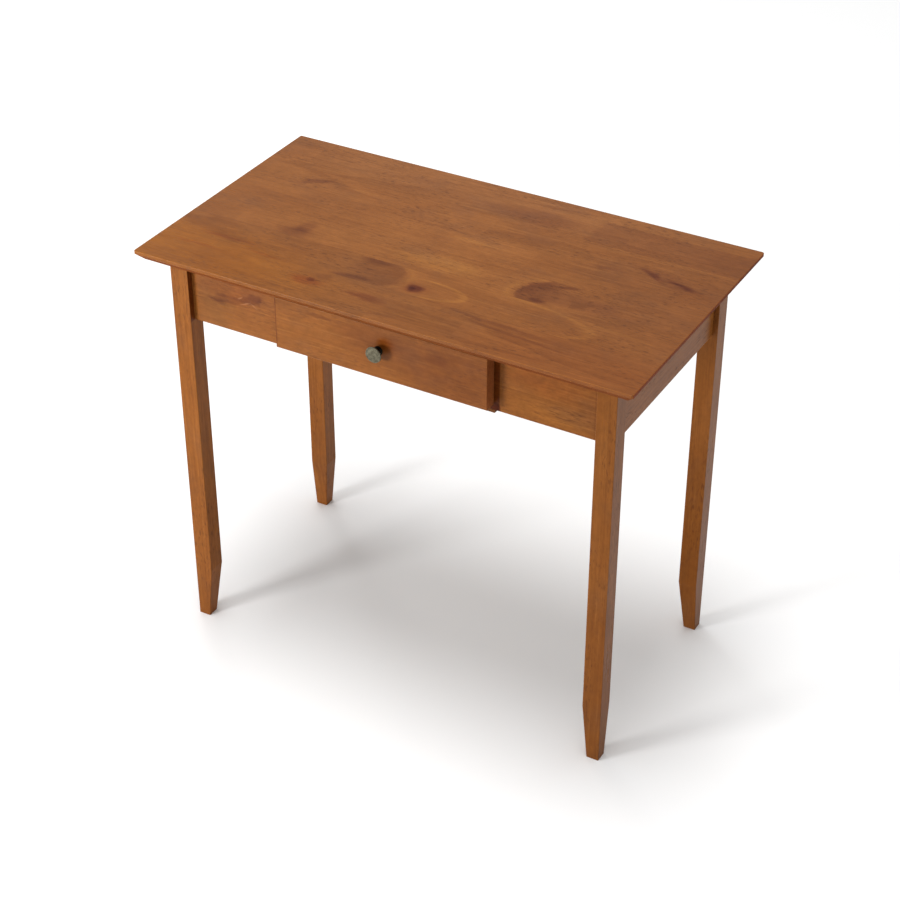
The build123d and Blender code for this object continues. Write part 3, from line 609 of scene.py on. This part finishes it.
for index, corner in enumerate(("front_left", "front_right", "back_left", "back_right")):
    leg, cornerBlock = "leg_" + corner, "corner_block_" + corner
    marks = legFigures + (cornerShadeFigures if corner == "front_left" else [])
    dress(leg, woodMaterial("legWood_" + corner, leg, "upright", 41.3 + 3.7 * index,
                            dict(stained, tone=legPaintedLight[corner]), figures=marks))
    dress(cornerBlock, woodMaterial("blockWood_" + corner, cornerBlock, "front", 61.9 + 2.3 * index, plain))
for index, side in enumerate(("left", "right")):
    for kind in ("drawer_guide_", "drawer_runner_", "drawer_kicker_", "drawer_side_"):
        node = kind + side
        seed = 71.4 + 5.9 * index + len(kind) * 1.3
        dress(node, woodMaterial("innerWood_" + node, node, "side", seed, plain))
dress("drawer_stop_button", woodMaterial("innerWood_button", "drawer_stop_button", "upright", 93.6, beech))
dress("drawer_bottom", woodMaterial("bottomPly", "drawer_bottom", "top", 95.1, ply))
dress("guide_dowels", woodMaterial("guideDowelWood", "guide_dowels", "flat", 97.3, beech))
dress("drawer_dowels", woodMaterial("drawerDowelWood", "drawer_dowels", "top", 98.9, beech))
print("wood dressed")


zinc = {
    "light": (0.62, 0.63, 0.64),
    "dark": (0.40, 0.41, 0.43),
    "roughness": 0.34,
    "cloudScale": 160,
    "scratchScale": (2200, 260),   # across the scratches and along them
    "bump": 0.12,
}
yellowZinc = dict(zinc, light=(0.62, 0.56, 0.38), dark=(0.40, 0.33, 0.19), roughness=0.36)


def metalMaterial(name, look):
    # Plated steel: cloudy plating with fine scratches.
    graph = Graph(name)
    place = graph.place()
    cloud = graph.noise(place, look["cloudScale"], 4.0, 0.6)
    x, y, z = graph.parts(place)
    fine, long = look["scratchScale"]
    scratches = graph.noise(graph.vector(x * fine, y * long, z * long), 1.0, 2.0, 0.7)
    colour = graph.mixColour(cloud.rise(0.3, 0.7), look["dark"], look["light"])
    return graph.finish({
        "Base Color": colour, "Metallic": 1.0,
        "Roughness": look["roughness"] + (cloud - 0.5) * 0.25 + scratches * 0.06,
        "Normal": graph.bump(scratches + cloud, look["bump"], 0.0001),
    })


zincPlate = metalMaterial("zincPlate", zinc)
yellowPlate = metalMaterial("yellowPlate", yellowZinc)
for node in ("hanger_bolts", "bolt_washers", "bolt_nuts", "top_clips"):
    dress(node, zincPlate)
for node in ("corner_block_screws", "top_clip_screws", "rail_screws", "runner_screws", "drawer_front_screws",
             "drawer_bottom_screws", "stop_button_screw", "knob_screw"):
    dress(node, yellowPlate)

knobShape = {
    "segments": 128,
    "roundings": 2,
    # Radius and height over the drawer's face, in millimetres: screw hole, foot, waist, head, rim, groove
    # and crown.
    "profile": (
        (0, 9.1), (2.2, 9.1), (2.2, 0), (7.9, 0), (8.5, 0), (8.5, 1.3), (8.0, 2.1), (7.2, 2.3), (6.3, 3.5),
        (6.0, 6.0), (6.1, 8.6), (7.3, 10.8), (9.6, 12.1), (13.6, 14.5), (14.6, 15.0), (15.0, 15.4),
        (15.0, 17.0), (14.7, 17.6), (13.9, 17.8), (12.9, 17.75), (12.1, 17.6), (11.2, 17.65), (8.0, 18.1),
        (4.0, 18.4), (0, 18.5)),
    "dents": 34,
    "dentDepth": 0.00018,
    "dentSize": 0.0018,
    "dentReach": 0.0135,            # dents lie within this radius
    "dentSeed": 11,
    "roomShare": (0.94, 0.92),      # how much of the room the turned head takes, across and forwards
    "headFrom": (0.80, 0.85),       # shares of its height where the uneven, hammered head starts and is full
    "wobble": 0.010,                # how far the rim is from round
    "waves": ((5, 0.7), (8, 2.1)),  # the wobble's waves in a turn, and where they start
}
pewter = {
    "bright": (0.165, 0.150, 0.103),
    "middle": (0.080, 0.071, 0.047),
    "dark": (0.014, 0.011, 0.007),
    "rim": (0.84, 0.95),            # where the rim starts, in shares of the radius
    "grooveIn": (0.74, 0.81),
    "grooveOut": (0.83, 0.88),
    "back": (0.20, 0.42),           # where the painted shade on the back starts, in shares of the depth
    "rimBright": 0.35,
    "grooveDark": 0.18,
    "backShade": 0.92,
    "roughness": 0.66,
}


def makeKnob(name, node, look):
    # A profile turned round the knob's axis: the point at profile place t and angle a is
    # (centre x + r(t) cos a, back y - h(t) + dents, centre z + r(t) sin a), and each dent is
    # depth * exp(-(distance / size)^2).
    low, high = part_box(node)
    centreX, centreZ = (low.x + high.x) / 2, (low.z + high.z) / 2
    room = np.array(((high.x - low.x) / 2, high.y - low.y)) * look["roomShare"]
    line = np.array(look["profile"]) * room / np.max(look["profile"], axis=0)
    for rounding in range(look["roundings"]):  # corners are cut, and the two ends stay
        cut = np.stack((line[:-1] * 0.75 + line[1:] * 0.25, line[:-1] * 0.25 + line[1:] * 0.75), axis=1)
        line = np.vstack((line[:1], cut.reshape(-1, 2)[1:-1], line[-1:]))
    angle = np.linspace(0, 2 * math.pi, look["segments"], endpoint=False)
    (slow, slowStart), (fast, fastStart) = look["waves"]
    uneven = 2 + np.sin(slow * angle + slowStart) + np.sin(fast * angle + fastStart)
    wobble = 1 - look["wobble"] * uneven / 4
    radius, height = line[1:-1, 0:1], line[1:-1, 1:2]
    headLow, headFull = look["headFrom"]
    headShare = np.clip((height / height.max() - headLow) / (headFull - headLow), 0, 1)
    around = radius * (1 - headShare + headShare * wobble)
    x, z = around * np.cos(angle), around * np.sin(angle)

    draw = np.random.default_rng(look["dentSeed"])
    dentRadius = look["dentReach"] * np.sqrt(draw.random(look["dents"]))
    dentAngle = draw.random(look["dents"]) * 2 * math.pi
    gapX = x[..., None] - dentRadius * np.cos(dentAngle)
    gapZ = z[..., None] - dentRadius * np.sin(dentAngle)
    dents = look["dentDepth"] * np.exp(-(gapX ** 2 + gapZ ** 2) / look["dentSize"] ** 2).sum(axis=-1)
    y = high.y - height + headShare * dents
    rings = np.stack((centreX + x, y + 0 * x, centreZ + z), axis=-1).reshape(-1, 3)
    poles = [(centreX, high.y - line[end, 1], centreZ) for end in (0, -1)]

    # Four-sided faces between the rings, and a fan of triangles at each pole.
    count, turns = look["segments"], len(line) - 2
    step = np.arange(count)
    follow = (step + 1) % count
    row = (np.arange(turns - 1) * count)[:, None]
    quads = np.stack((row + follow, row + count + follow, row + count + step, row + step), axis=-1)
    first, last, bottom = turns * count, turns * count + 1, (turns - 1) * count
    fans = [(first, follow, step), (last, bottom + step, bottom + follow)]
    triangles = np.vstack([np.stack(np.broadcast_arrays(*fan), axis=-1) for fan in fans])
    mesh = bpy.data.meshes.new(name)
    vertices = np.vstack((rings, poles))
    mesh.from_pydata(vertices.tolist(), [], quads.reshape(-1, 4).tolist() + triangles.tolist())
    mesh.polygons.foreach_set("use_smooth", np.ones(len(mesh.polygons), bool))
    turned = bpy.data.objects.new(name, mesh)
    bpy.context.scene.collection.objects.link(turned)
    return turned


def pewterMaterial(name, node, look):
    # Aged pewter: pale on the rim and the high spots and darker in the hollows; painted near black under the
    # head, a painted shade.
    graph = Graph(name)
    place = graph.place()
    x, y, z = graph.parts(place)
    low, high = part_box(node)
    middle = (low + high) / 2
    radius = ((x - middle.x) ** 2 + (z - middle.z) ** 2) ** 0.5 / ((high.x - low.x) / 2)
    back = ((y - low.y) / (high.y - low.y)).rise(*look["back"])
    mottle = graph.noise(place, 420, 4.0, 0.65)
    patch = graph.noise(place, 150, 2.0, 0.5)
    rim = radius.rise(*look["rim"]) * (1 - back)
    groove = radius.rise(*look["grooveIn"]) * (1 - radius.rise(*look["grooveOut"])) * (1 - back)
    colour = graph.mixColour((mottle * 0.6 + patch * 0.4).rise(0.40, 0.60), look["middle"], look["bright"])
    colour = graph.mixColour(groove * look["grooveDark"], colour, look["dark"])
    colour = graph.mixColour(rim * look["rimBright"], colour, look["bright"])
    # painted shade under the head and on the neck
    colour = graph.mixColour(back * look["backShade"], colour, look["dark"])
    return graph.finish({
        "Base Color": colour, "Metallic": 0.9,
        "Roughness": look["roughness"] + (mottle - 0.5) * 0.3 - rim * 0.06 + back * 0.2,
        "Normal": graph.bump(mottle, 0.20, 0.0003),
    })


knob = makeKnob("pewterKnob", "drawer_knob", knobShape)
knob.data.materials.append(pewterMaterial("agedPewter", "drawer_knob", pewter))
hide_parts("drawer_knob")
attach(knob, "drawer")


rubber = {"dark": (0.10, 0.10, 0.095), "light": (0.16, 0.16, 0.15), "roughness": 0.6, "grainScale": 900}


def rubberMaterial(name, look):
    graph = Graph(name)
    grit = graph.noise(graph.place(), look["grainScale"], 3.0, 0.6)
    colour = graph.mixColour(grit.rise(0.3, 0.7), look["dark"], look["light"])
    return graph.finish({"Base Color": colour, "Roughness": look["roughness"] + (grit - 0.5) * 0.2,
                         "Normal": graph.bump(grit, 0.2, 0.0002)})


dress("drawer_bumpers", rubberMaterial("bumperRubber", rubber))
print("metal dressed")


studio = {
    "floorSize": 16.0,
    "floorColour": (0.88, 0.88, 0.88),
    "floorRoughness": 0.85,
    "worldStrength": 0.50,
}
lamps = {   # one far and wide, almost straight above, a key from the front left, and one behind
    "overhead": {"at": (-0.75, -0.35, 16.0), "aim": (0, 0, 0), "size": (9.0, 6.2), "power": 1680.0},
    "key": {"at": (-1.62, -2.54, 0.85), "aim": (0, 0, 0.45), "size": (0.68, 0.68), "power": 60.0},
    "rim": {"at": (-2.6, 2.1, 0.9), "aim": (0, 0, 0.45), "size": (0.7, 0.7), "power": 14.0},
}
shot = {
    "azimuth": 29.53, "elevation": 33.98, "distance": 3.517, "lens": 81.3, "sensor": 36,
    "sideways": 0.0089, "back": -0.0114,   # the point that the camera aims at
}


def makeFloor(look):
    half = look["floorSize"] / 2
    corners = [(-half, -half, 0), (half, -half, 0), (half, half, 0), (-half, half, 0)]
    mesh = bpy.data.meshes.new("floor")
    mesh.from_pydata(corners, [], [(0, 1, 2, 3)])
    floor = bpy.data.objects.new("floor", mesh)
    bpy.context.scene.collection.objects.link(floor)
    graph = Graph("floorPaint")
    speckle = graph.noise(graph.place(), 30, 3.0, 0.5)
    mesh.materials.append(graph.finish({"Base Color": (*look["floorColour"], 1), "Specular IOR Level": 0.1,
                                        "Roughness": look["floorRoughness"] + (speckle - 0.5) * 0.05}))


def makeLamp(name, at, aim, size, power):
    data = bpy.data.lights.new(name, "AREA")
    data.shape = "SQUARE" if size[0] == size[1] else "ELLIPSE"
    data.size, data.size_y = size
    data.energy = power
    lamp = bpy.data.objects.new(name, data)
    lamp.location = at
    lamp.rotation_euler = (Vector(aim) - Vector(at)).to_track_quat("-Z", "Y").to_euler()
    bpy.context.scene.collection.objects.link(lamp)


def makeWorld(strength):
    world = bpy.data.worlds.new("studioWorld")
    bpy.context.scene.world = world
    world.use_nodes = True
    sky = world.node_tree.nodes["Background"]
    sky.inputs["Color"].default_value = (1, 1, 1, 1)
    sky.inputs["Strength"].default_value = strength


def makeCamera(look, target):
    data = bpy.data.cameras.new("camera")
    data.lens = look["lens"]
    data.sensor_width = look["sensor"]
    azimuth, elevation = math.radians(look["azimuth"]), math.radians(look["elevation"])
    back = Vector((math.sin(azimuth) * math.cos(elevation), -math.cos(azimuth) * math.cos(elevation),
                   math.sin(elevation)))
    camera = bpy.data.objects.new("camera", data)
    camera.location = target + back * look["distance"]
    camera.rotation_euler = (-back).to_track_quat("-Z", "Y").to_euler()
    bpy.context.scene.collection.objects.link(camera)
    bpy.context.scene.camera = camera


makeFloor(studio)
for lampName, lamp in lamps.items():
    makeLamp(lampName, **lamp)
makeWorld(studio["worldStrength"])
makeCamera(shot, Vector((shot["sideways"], shot["back"], (cadLow.z + cadHigh.z) / 2)))
bpy.context.scene.view_settings.view_transform = "Standard"
print("studio ready")
